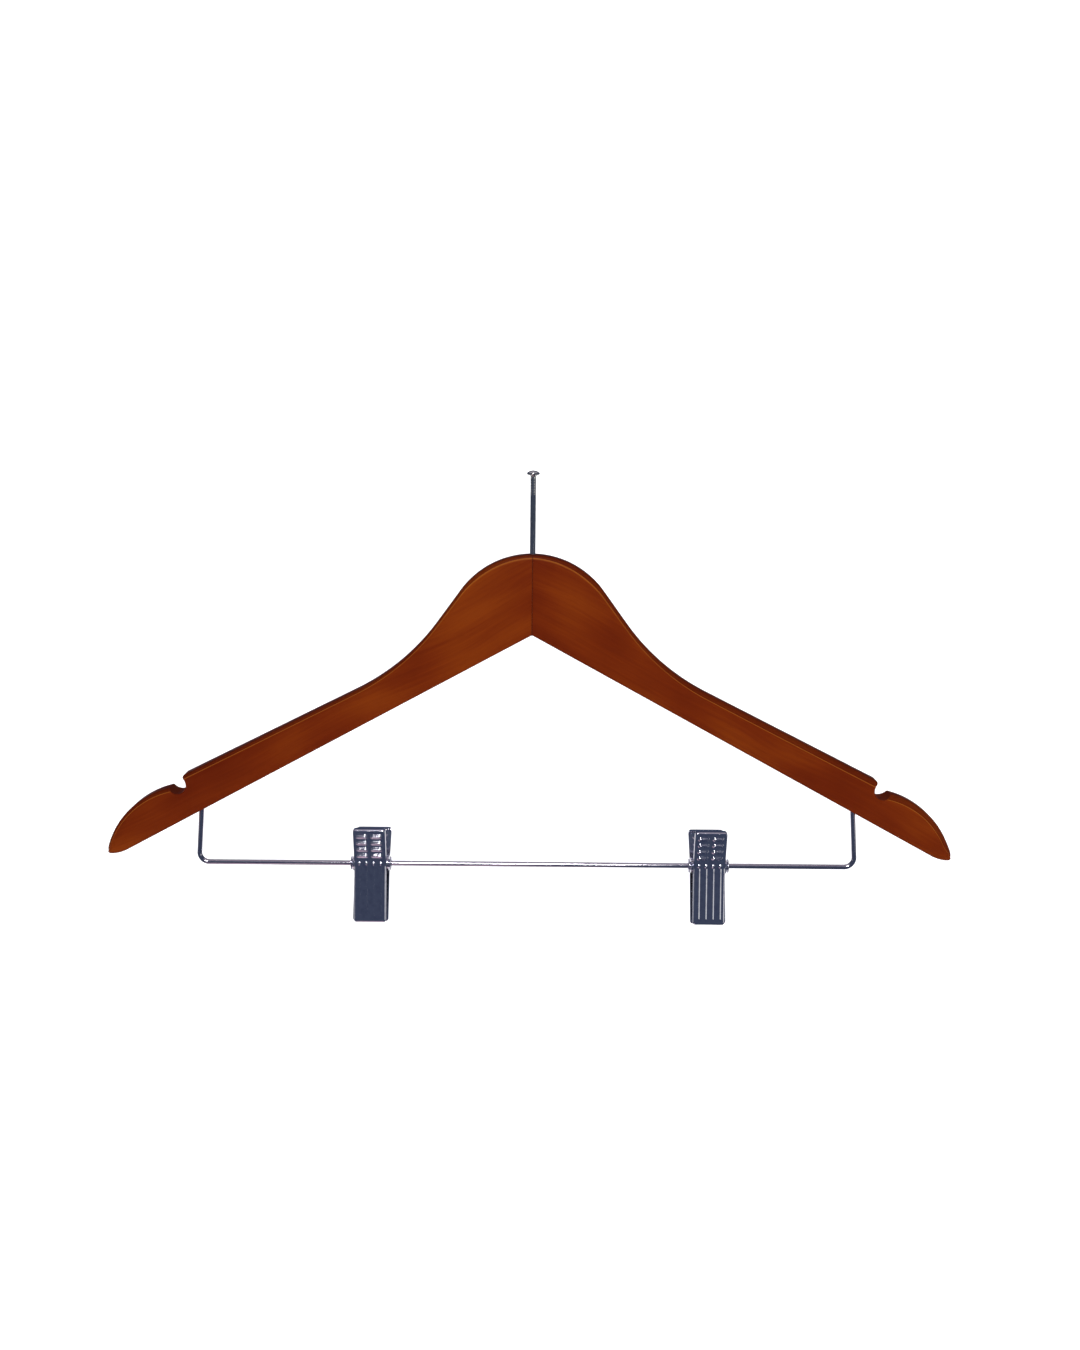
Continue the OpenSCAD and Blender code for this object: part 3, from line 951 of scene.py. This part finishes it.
@dataclass
class ClipBar:
    """The bent wire bar."""

    finish: ChromePlate
    radius: float = 1.3
    swell: float = 0.05
    bend: float = 5.0
    lean: float = 5.3
    left_lower: float = 1.9
    right_lower: float = 0.15

    def __post_init__(self) -> None:
        """Reads the bar's place from the frame."""
        low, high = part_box("clip_bar")
        self.middle = (high.x + low.x) / MM / 2
        self.level = low.z / MM + self.radius + self.swell
        self.reach = (high.x - low.x) / MM / 2 - self.radius - self.swell - self.bend
        self.top = high.z / MM

    def side(self, sign: int) -> Array:
        """The middle line of one bend and its leg, drawn as the right one about the bar's middle.

        The bend turns by a quarter circle and the lean, and the leg leans in
        from there to the bottom of its hole, which is lower on the left.

        Args:
            sign: -1 for the left side, 1 for the right.

        Returns:
            x and z of the points, from the run upwards.
        """
        lean = math.radians(self.lean)
        corner = arc((self.reach, self.level + self.bend), self.bend, 270.0, 360.0 + self.lean, 26)
        top = self.top - (self.left_lower if sign < 0 else self.right_lower)
        length = (top - corner[-1, 1]) / math.cos(lean)
        leg = corner[-1] + np.linspace(0.5, length, 30)[:, None] * np.array([-math.sin(lean), math.cos(lean)])
        return np.vstack([corner, leg])

    def stand(self, line: Array) -> Array:
        """Stands a line of x and z up in the frame."""
        return np.stack([line[:, 0] + self.middle, 0.0 * line[:, 0], line[:, 1]], -1)

    def path(self) -> Array:
        """The wire's middle line: down the left leg, round two bends and up the right leg."""
        run = np.linspace(-self.reach, self.reach, 120)[1:-1]
        level = np.stack([run, np.full(len(run), self.level)], -1)
        return self.stand(np.vstack([self.side(-1)[::-1] * np.array([-1.0, 1.0]), level, self.side(1)]))

    def bore(self, sign: int) -> bpy.types.Object:
        """The cutter for one leg's hole."""
        leg = self.side(sign)[-25:]
        leg = np.vstack([leg, leg[-1] + 0.1 * (leg[-1] - leg[-2])]) * np.array([sign, 1.0])
        cutter = Solid("leg_bore")
        cutter.tube(sweep(self.stand(leg)[[0, -1]], np.full(2, self.radius + 0.06), (0.0, 1.0, 0.0), 40))
        return cutter.build()

    def build(self) -> None:
        """Makes the bar."""
        path = self.path()
        solid = Solid("clip_bar_chrome")
        solid.tube(sweep(path, np.full(len(path), self.radius), (0.0, 1.0, 0.0), 28))
        dress(solid.build(), self.finish.material(), "frame", "clip_bar")


# ----------------------------------------------------------------------- clips


class Jaw(Enum):
    """The two jaws of a clip, by the side of the bar that they stand on."""

    FRONT = -1
    BACK = 1


@dataclass
class TrouserClip:
    """A sprung clip of two pressed jaws on a tube; sizes in millimetres.

    Its own frame has its origin at the pivot, x along the bar, y through the
    clip and z up, and leans with its jaw tips towards the front.
    """

    hand: Hand
    plate: bpy.types.Material
    wire: bpy.types.Material
    grip: bpy.types.Material
    lean: float = 14.0
    front_half: float = 8.5
    back_half: float = 9.4
    jaw_h: float = 31.0
    handle_h: float = 18.5
    back_drop: float = 1.2
    tip_y: float = 2.8
    bend_z: float = -2.0
    bend_r: float = 12.0
    jaw_a: float = 4.2
    handle_a: float = 22.0
    sheet: float = 0.8
    fold_r: float = 0.95
    corner_r: float = 1.5
    top_lip: float = 3.0
    tip_lip: float = 1.3
    flange: float = 2.35
    ear_r: float = 3.85
    ear_root: float = 4.35
    hole_r: float = 2.18
    tube_in: float = 1.6
    tube_out: float = 2.1
    rim_r: float = 3.6
    tube_half: float = 10.6
    coil_r: float = 2.9
    wire_r: float = 0.55
    coil_half: float = 2.9
    coil_turns: int = 5
    spring_leg: float = 12.5
    pad_h: float = 10.0
    pad_half: float = 7.2
    pad_gap: float = 0.15

    def __post_init__(self) -> None:
        """Reads the pivot from the frame and works out the jaw's side view."""
        self.side = self.hand.name.lower()
        swing = next(j for j in frame["joints"] if j["name"] == f"{self.side}_clip_swing")
        self.pivot = np.array(swing["pos_m"]) / MM
        low, high = np.radians([self.jaw_a, self.handle_a])
        self.straight = (self.jaw_h + self.bend_z) / math.cos(low)
        start = self.tip_y + (self.jaw_h + self.bend_z) * math.tan(low)
        across, up = self.bend_r * math.cos(low), self.bend_r * math.sin(low)
        self.bend_c = np.array([start + across, self.bend_z - up])
        self.curved = self.bend_r * (high - low)
        self.handle_z = self.bend_c[1] + self.bend_r * math.sin(high)

    def half_width(self, jaw: Jaw) -> float:
        """Half the width of a jaw; the back one takes the front one between its sides."""
        return self.front_half if jaw is Jaw.FRONT else self.back_half

    def length(self, jaw: Jaw) -> float:
        """Length of a jaw along its outer line."""
        top = self.handle_h - (self.back_drop if jaw is Jaw.BACK else 0.0)
        return self.straight + self.curved + (top - self.handle_z) / math.cos(math.radians(self.handle_a))

    def place(self, points: Array) -> Array:
        """Leans points about the pivot and moves them on to the bar."""
        angle = math.radians(self.lean)
        x, y, z = points.T
        leaned = [x, y * math.cos(angle) + z * math.sin(angle), z * math.cos(angle) - y * math.sin(angle)]
        return np.stack(leaned, -1) + self.pivot

    def side_view(self, s: Array) -> tuple[Array, Array, Array]:
        """The jaw's outer line: straight from the tip, an arc past the pivot, and a straight handle.

        Args:
            s: distance up from the tip.

        Returns:
            y and z of the points and the slope there, in radians.
        """
        low, high = math.radians(self.jaw_a), math.radians(self.handle_a)
        slope = np.clip(low + (s - self.straight) / self.bend_r, low, high)
        down = np.minimum(s - self.straight, 0.0)
        up = np.maximum(s - self.straight - self.curved, 0.0)
        y = self.bend_c[0] - self.bend_r * np.cos(slope) + (down + up) * np.sin(slope)
        z = self.bend_c[1] + self.bend_r * np.sin(slope) + (down + up) * np.cos(slope)
        return y, z, slope

    def behind(self, x: Array, s: Array, depth: Array) -> Array:
        """Points at x across the jaw, s up from its tip and depth behind its outer face."""
        y, z, slope = self.side_view(s)
        return np.stack([x, y - depth * np.cos(slope), z + depth * np.sin(slope)], -1)

    def pressed_ribs(self, x: Array, down: Array) -> Array:
        """Height of the pressed ribs: each is a round-ended bar whose height falls off as a cosine.

        Four rows of short level ribs cross the handle in two columns and four
        long upright ribs run down the jaw, each from a bead at its top.

        Args:
            x: place across the jaw.
            down: distance from its top.

        Returns:
            The height at each place.
        """
        height = np.zeros_like(x)
        columns = (-3, -1, 1, 3)
        bars = [(col * 3.8, 3.6 + 3.75 * row, 1.8, 0.0, 1.30, 0.95) for row in range(4) for col in (-1, 1)]
        bars += [(col * 1.88, 33.4, 0.0, 14.4, 0.80, 0.19) for col in columns]
        bars += [(col * 1.88, 19.5, 0.0, 0.2, 1.10, 0.62) for col in columns]
        for mid_x, mid_s, half_x, half_s, reach, rise in bars:
            off_x = np.maximum(np.abs(x - mid_x) - half_x, 0.0)
            off_s = np.maximum(np.abs(down - mid_s) - half_s, 0.0)
            near = np.clip(np.hypot(off_x, off_s) / reach, 0.0, 1.0)
            height = np.maximum(height, rise * (0.5 + 0.5 * np.cos(np.pi * near)))
        return height

    def wall_depth(self, jaw: Jaw, x: Array, s: Array) -> Array:
        """How far the folded rim reaches back: by its own depth at the top, the tip and the sides."""
        ends = np.where(s > self.straight, self.top_lip, self.tip_lip)
        side = np.clip((np.abs(x) - self.half_width(jaw) + self.corner_r) / self.corner_r, 0.0, 1.0)
        return ends + (self.flange - ends) * side**1.5

    def pan(self, jaw: Jaw) -> Array:
        """The jaw's outer surface: a pressed pan with a folded rim and round corners.

        Loops about the middle keep an even distance d from the rim. A loop's
        corners are circles of the corner radius less d; its depth follows a
        quarter circle over the fold and then runs straight back for the wall.
        """
        fold = self.fold_r * (1.0 - np.sin(np.radians(np.arange(15.0, 91.0, 15.0))))
        walls = -np.arange(1.0, 6.0)
        band = np.concatenate([fold, walls])
        axes = []
        half_x, half_t = self.half_width(jaw), self.length(jaw) / 2
        for half, count in ((half_x, 66), (half_t, 196)):
            inner = np.linspace(self.fold_r - half, half - self.fold_r, count)
            axes.append(np.concatenate([(band - half)[::-1], inner, half - band]))
        x, t = np.meshgrid(*axes)
        d = np.minimum(half_x - np.abs(x), half_t - np.abs(t))
        inset = np.maximum(d, 0.0)
        radius = np.maximum(self.corner_r - inset, 0.0)
        mid_x, mid_t = half_x - inset - radius, half_t - inset - radius
        off_x, off_t = np.abs(x) - mid_x, np.abs(t) - mid_t
        corner = (off_x > 0) & (off_t > 0) & (radius > 0)
        span = np.where(corner, np.hypot(off_x, off_t), 1.0)
        round_x = np.where(corner, mid_x + radius * off_x / span, np.minimum(np.abs(x), half_x))
        round_t = np.where(corner, mid_t + radius * off_t / span, np.minimum(np.abs(t), half_t))
        x, s = np.sign(x) * round_x, np.sign(t) * round_t + half_t
        bend = self.fold_r - np.clip(d, 0.0, self.fold_r)
        depth = self.fold_r - np.sqrt(np.maximum(self.fold_r**2 - bend**2, 0.0))
        wall = np.clip(-d, 0.0, 5.0) / 5.0
        depth = depth + wall * (self.wall_depth(jaw, x, s) - self.fold_r)
        return self.behind(x, s, depth - self.pressed_ribs(x, 2 * half_t - s))

    def ear(self, solid: Solid, middle: float) -> None:
        """Adds an ear plate: rings from the pivot hole out to a disc with a square root.

        Args:
            solid: the jaw.
            middle: x of the plate's middle.
        """
        thick, bevel = self.sheet / 2 + 0.02, 0.14
        turn = np.linspace(0.0, 2 * np.pi, 96, endpoint=False)
        toward, across = np.cos(turn), np.abs(np.sin(turn))
        square = np.minimum(self.ear_root / np.maximum(toward, 1e-3), self.ear_r / np.maximum(across, 1e-3))
        outer = np.where(toward > 0, square, self.ear_r)
        inner = np.full_like(outer, self.hole_r)
        rows = [
            (inner, bevel - thick), (inner, thick - bevel), (inner + bevel, thick), (outer - bevel, thick),
            (outer, thick - bevel), (outer, bevel - thick), (outer - bevel, -thick), (inner + bevel, -thick),
        ]
        rings = np.stack(
            [np.stack([middle + off + 0.0 * r, r * toward, r * np.sin(turn)], -1) for r, off in rows]
        )
        solid.grid(rings, wrap_rows=True, wrap_cols=True)

    def jaw(self, jaw: Jaw) -> None:
        """Makes one jaw of the clip."""
        name = f"{self.body(jaw)}_jaw"
        solid = Solid(f"{name}_plate")
        solid.sheet(self.pan(jaw), self.sheet)
        for sign in (-1, 1):
            self.ear(solid, sign * (self.half_width(jaw) - self.sheet / 2))
        self.face_front(solid, jaw)
        piece = solid.build(self.place, 40.0)
        dress(piece, self.plate, self.body(jaw), name)

    def body(self, jaw: Jaw) -> str:
        """The body that a jaw rides on."""
        return f"{self.side}_{jaw.name.lower()}"

    def face_front(self, solid: Solid, jaw: Jaw) -> None:
        """Mirrors a solid that is drawn on the back side where it belongs to the front jaw."""
        solid.points = [p * np.array([1.0, jaw.value, 1.0]) for p in solid.points]

    def pad(self, jaw: Jaw) -> None:
        """Makes a grip pad: a wedge on the jaw's inside with eased edges and cross ridges.

        Its height above the jaw is what is left to the middle of the clip, and
        near its outline falls away as a quarter circle.
        """
        name = f"{self.body(jaw)}_pad"
        half_s, r = self.pad_h / 2, 1.1
        ease = r * (1.0 - np.sin(np.radians(np.arange(0.0, 91.0, 18.0))))
        axes = []
        for half, count in ((self.pad_half, 40), (half_s, 60)):
            inner = np.linspace(r - half, half - r, count)[1:-1]
            axes.append(np.concatenate([(ease - half)[::-1], inner, half - ease]))
        x, t = np.meshgrid(*axes)
        d = np.minimum(self.pad_half - np.abs(x), half_s - np.abs(t))
        fall = 1.0 - np.clip(d / r, 0.0, 1.0)
        s = t + half_s + 0.95
        y, _, slope = self.side_view(s)
        full = (y - self.pad_gap) / np.cos(slope) - self.sheet
        ridges = 0.16 * (0.5 - 0.5 * np.cos(2 * np.pi * t / 1.5)) * np.clip((d - 0.6) / 0.8, 0.0, 1.0)
        rise = (full - ridges) * np.sqrt(np.maximum(1.0 - fall**2, 0.0)) + 0.02
        slant = np.clip((half_s - t) / 2.4, 0.25, 1.0)
        top = self.behind(x, s, self.sheet - 0.03 + rise * slant)
        base = self.behind(x, s, self.sheet - 0.03 + 0.0 * rise)
        solid = Solid(f"{name}_pvc")
        solid.slab(top, base)
        self.face_front(solid, jaw)
        dress(solid.build(self.place, 50.0), self.grip, self.body(jaw), name)

    def tube(self) -> None:
        """Makes the pivot tube: a thin wall whose ends flare over the ears."""
        h, r, out = self.tube_half, self.rim_r, self.tube_out
        half = [
            (out, 0.0), (out, h - 0.72), (out + 0.12, h - 0.56), (r - 0.12, h - 0.52),
            (r, h - 0.38), (r, h - 0.16), (r - 0.14, h - 0.02), (r - 0.5, h), (self.tube_in + 0.35, h - 0.12),
            (self.tube_in + 0.06, h - 0.42), (self.tube_in, h - 0.9), (self.tube_in, 0.0),
        ]
        upper = np.array(half)
        lower = upper[::-1] * np.array([1.0, -1.0])
        solid = Solid(f"{self.side}_pivot_tube_chrome")
        solid.revolve(np.vstack([upper, lower[1:-1]])[::-1], 0, 48, closed=True)
        piece = solid.build(self.place, 50.0)
        dress(piece, self.plate, f"{self.side}_tube", f"{self.side}_pivot_tube")

    def spring(self) -> None:
        """Makes the torsion spring: a leg, a helix about the tube and the other leg."""
        lay = math.radians(self.handle_a + 1.0)
        sweep_a = 2 * np.pi * self.coil_turns - np.pi - 2 * lay
        t = np.linspace(0.0, 1.0, 30 * self.coil_turns)
        angle = -lay - sweep_a * t
        coil = np.stack([
            self.coil_half * (2 * t - 1), -self.coil_r * np.cos(angle), self.coil_r * np.sin(angle)
        ], -1)
        out = np.linspace(self.spring_leg, 0.4, 16)[:, None]
        first = coil[0] + out * np.array([0.0, -math.sin(lay), math.cos(lay)])
        last = coil[-1] + out[::-1] * np.array([0.0, math.sin(lay), math.cos(lay)])
        path, radius = rounded_ends(np.vstack([first, coil, last]), self.wire_r)
        solid = Solid(f"{self.side}_clip_spring_wire")
        solid.tube(sweep(path, radius, (1.0, 0.0, 0.0), 14))
        piece = solid.build(self.place, 50.0)
        near, far = (self.place(np.array([[x, 0.0, 0.0]]))[0] * MM for x in (self.coil_half, -self.coil_half))
        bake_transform(piece)
        dress(piece, self.wire, "", f"{self.side}_clip_spring")

    def build(self) -> None:
        """Makes the whole clip."""
        for jaw in Jaw:
            self.jaw(jaw)
            self.pad(jaw)
        self.tube()
        self.spring()


# ---------------------------------------------------------------------- studio


@dataclass
class Studio:
    """Pale floor, soft lights and the camera; lengths in metres, angles in degrees."""

    floor_z: float = -0.62
    elevation: float = 12.0
    azimuth: float = -0.24
    roll: float = 0.58
    distance: float = 0.60
    aim: Color = (0.0043, 0.0, -0.10101)
    lens: float = 31.09
    middle: Color = (0.0, 0.0, -0.12)

    def floor(self) -> None:
        """A pale floor that curves up into a pale wall all round.

        The profile is a flat, a quarter circle and an upright, turned round Z.
        """
        bend = arc((2.2, 1.0), 1.0, 270.0, 360.0, 24)
        profile = np.vstack([[0.0, 0.0], [1.2, 0.0], bend, [3.2, 3.4]])
        profile[:, 1] += self.floor_z
        solid = Solid("studio_floor")
        solid.revolve(profile / MM, 2, 128)
        piece = solid.build(crease=60.0)
        s = Shader("pale_floor")
        cloud = s.noise(s.scaled(s.object_mm(), (0.004, 0.004, 0.004)), 3.0)
        tint = s.mix(cloud, (0.86, 0.86, 0.86), (0.90, 0.90, 0.90))
        floor = s.finish(
            Base_Color=tint,
            Roughness=0.7,
            Specular_IOR_Level=0.2,
            Emission_Color=tint,
            Emission_Strength=0.62,
        )
        piece.data.materials.append(floor)
        piece.visible_glossy = False

    def area(self, name: str, place: Color, size: tuple[float, float], power: float, seen: bool) -> None:
        """Adds one soft light that faces the hanger's middle.

        Args:
            name: its name.
            place: where it stands.
            size: its width and height.
            power: its strength in watts.
            seen: whether shiny things mirror it.
        """
        light = bpy.data.lights.new(name, "AREA")
        light.shape, light.size, light.size_y = "RECTANGLE", *size
        light.energy, light.color = power, (1.0, 0.985, 0.965)
        lamp = bpy.data.objects.new(name, light)
        lamp.location = place
        lamp.rotation_euler = (Vector(self.middle) - Vector(place)).to_track_quat("-Z", "Y").to_euler()
        lamp.visible_glossy = seen
        bpy.context.scene.collection.objects.link(lamp)

    def card(self, name: str, place: Color, aim: Color, size: tuple[float, float], glow: Color) -> None:
        """Adds a card that only mirrored rays meet.

        Args:
            name: its name.
            place: where it stands.
            aim: the point that it faces.
            size: its width and height.
            glow: the light that it gives.
        """
        w, h = size[0] / 2, size[1] / 2
        mesh = bpy.data.meshes.new(name)
        mesh.from_pydata([(-w, -h, 0), (w, -h, 0), (w, h, 0), (-w, h, 0)], [], [(0, 1, 2, 3)])
        piece = bpy.data.objects.new(name, mesh)
        piece.location = place
        piece.rotation_euler = (Vector(aim) - Vector(place)).to_track_quat("Z", "Y").to_euler()
        bpy.context.scene.collection.objects.link(piece)
        lit = {"Base_Color": (0.0, 0.0, 0.0), "Emission_Color": glow, "Emission_Strength": 1.0}
        mesh.materials.append(Shader(name).finish(**lit))
        piece.visible_camera = False
        piece.visible_diffuse = False
        piece.visible_shadow = False

    def lights(self) -> None:
        """Sets the soft lights, a dark room for the chrome to mirror and a pale card behind."""
        scene = bpy.context.scene
        world = bpy.data.worlds.new("studio_air")
        world.use_nodes = True
        air = world.node_tree.nodes["Background"]
        air.inputs["Color"].default_value = (0.055, 0.068, 0.11, 1.0)
        air.inputs["Strength"].default_value = 1.0
        scene.world = world
        scene.view_settings.view_transform = "Standard"
        level = (0.0, 0.0, -0.46)
        self.area("key", (-0.04, -1.25, 0.68), (0.42, 0.36), 14.0, True)
        self.area("fill", (1.5, -0.7, 0.25), (0.4, 1.0), 6.0, False)
        self.card("pale_card_back", (0.0, 1.4, -0.95), self.middle, (4.0, 1.4), (0.85, 0.84, 0.87))
        self.card("overhead_card", (0.0, 0.1, 1.5), self.middle, (3.0, 2.6), (0.46, 0.43, 0.50))
        self.card("side_card_left", (-1.68, -0.25, -0.46), level, (1.5, 0.32), (0.50, 0.50, 0.50))
        self.card("side_card_right", (1.54, -0.72, -0.46), level, (2.8, 0.32), (0.70, 0.70, 0.69))
        self.card("blush_card", (-0.35, -0.62, -1.4), self.middle, (0.9, 0.8), (0.85, 0.62, 0.70))

    def camera(self) -> None:
        """Places the camera on its sphere about the aim and turns it by the roll."""
        a, e, r = (math.radians(v) for v in (self.azimuth, self.elevation, self.roll))
        back = Vector((math.sin(a) * math.cos(e), -math.cos(a) * math.cos(e), math.sin(e)))
        right = (-back).cross(Vector((0, 0, 1))).normalized()
        up = right.cross(-back)
        side = right * math.cos(r) + up * math.sin(r)
        head = up * math.cos(r) - right * math.sin(r)
        lens = bpy.data.cameras.new("camera")
        lens.lens, lens.sensor_width, lens.sensor_fit = self.lens, 36.0, "AUTO"
        lens.clip_start, lens.clip_end = 0.01, 30.0
        eye = bpy.data.objects.new("camera", lens)
        axes = Matrix((side, head, back)).transposed().to_4x4()
        eye.matrix_world = Matrix.Translation(Vector(self.aim) + back * self.distance) @ axes
        bpy.context.scene.collection.objects.link(eye)
        bpy.context.scene.camera = eye

    def build(self) -> None:
        """Makes the studio."""
        self.camera()
        self.floor()
        self.lights()


def main() -> None:
    """Builds the hanger piece by piece and then its studio."""
    logging.basicConfig(level=logging.INFO, format="%(name)s: %(message)s")
    left_wood = StainedWood("left_arm_wood", 27.5, (40.0, 12.0, 7.0))
    right_wood = StainedWood("right_arm_wood", -27.5, (-310.0, 47.0, 90.0))
    bar = ClipBar(ChromePlate("bar_plating", (0.66, 0.63, 0.70), (0.52, 0.49, 0.58), 0.10, 8.0, 0.03))
    WoodenArm(Hand.LEFT, left_wood, (1.2, 2.2, 1.7, 1.7, 1.5), bar).build()
    WoodenArm(Hand.RIGHT, right_wood, (1.2, 2.7, 2.9, 2.9, 3.3), bar).build()
    SwivelPin(ChromePlate("pin_plating", (0.64, 0.64, 0.62), (0.50, 0.50, 0.49), 0.10, 6.0, 0.02)).build()
    bar.build()
    plate = ChromePlate("clip_plating", (0.74, 0.74, 0.82), (0.58, 0.58, 0.70), 0.07, 4.0, 0.05).material()
    wire, grip = DrawnWire().material(), SoftGrip().material()
    for hand in Hand:
        TrouserClip(hand, plate, wire, grip).build()
    Studio().build()


if __name__ == "__main__":
    main()
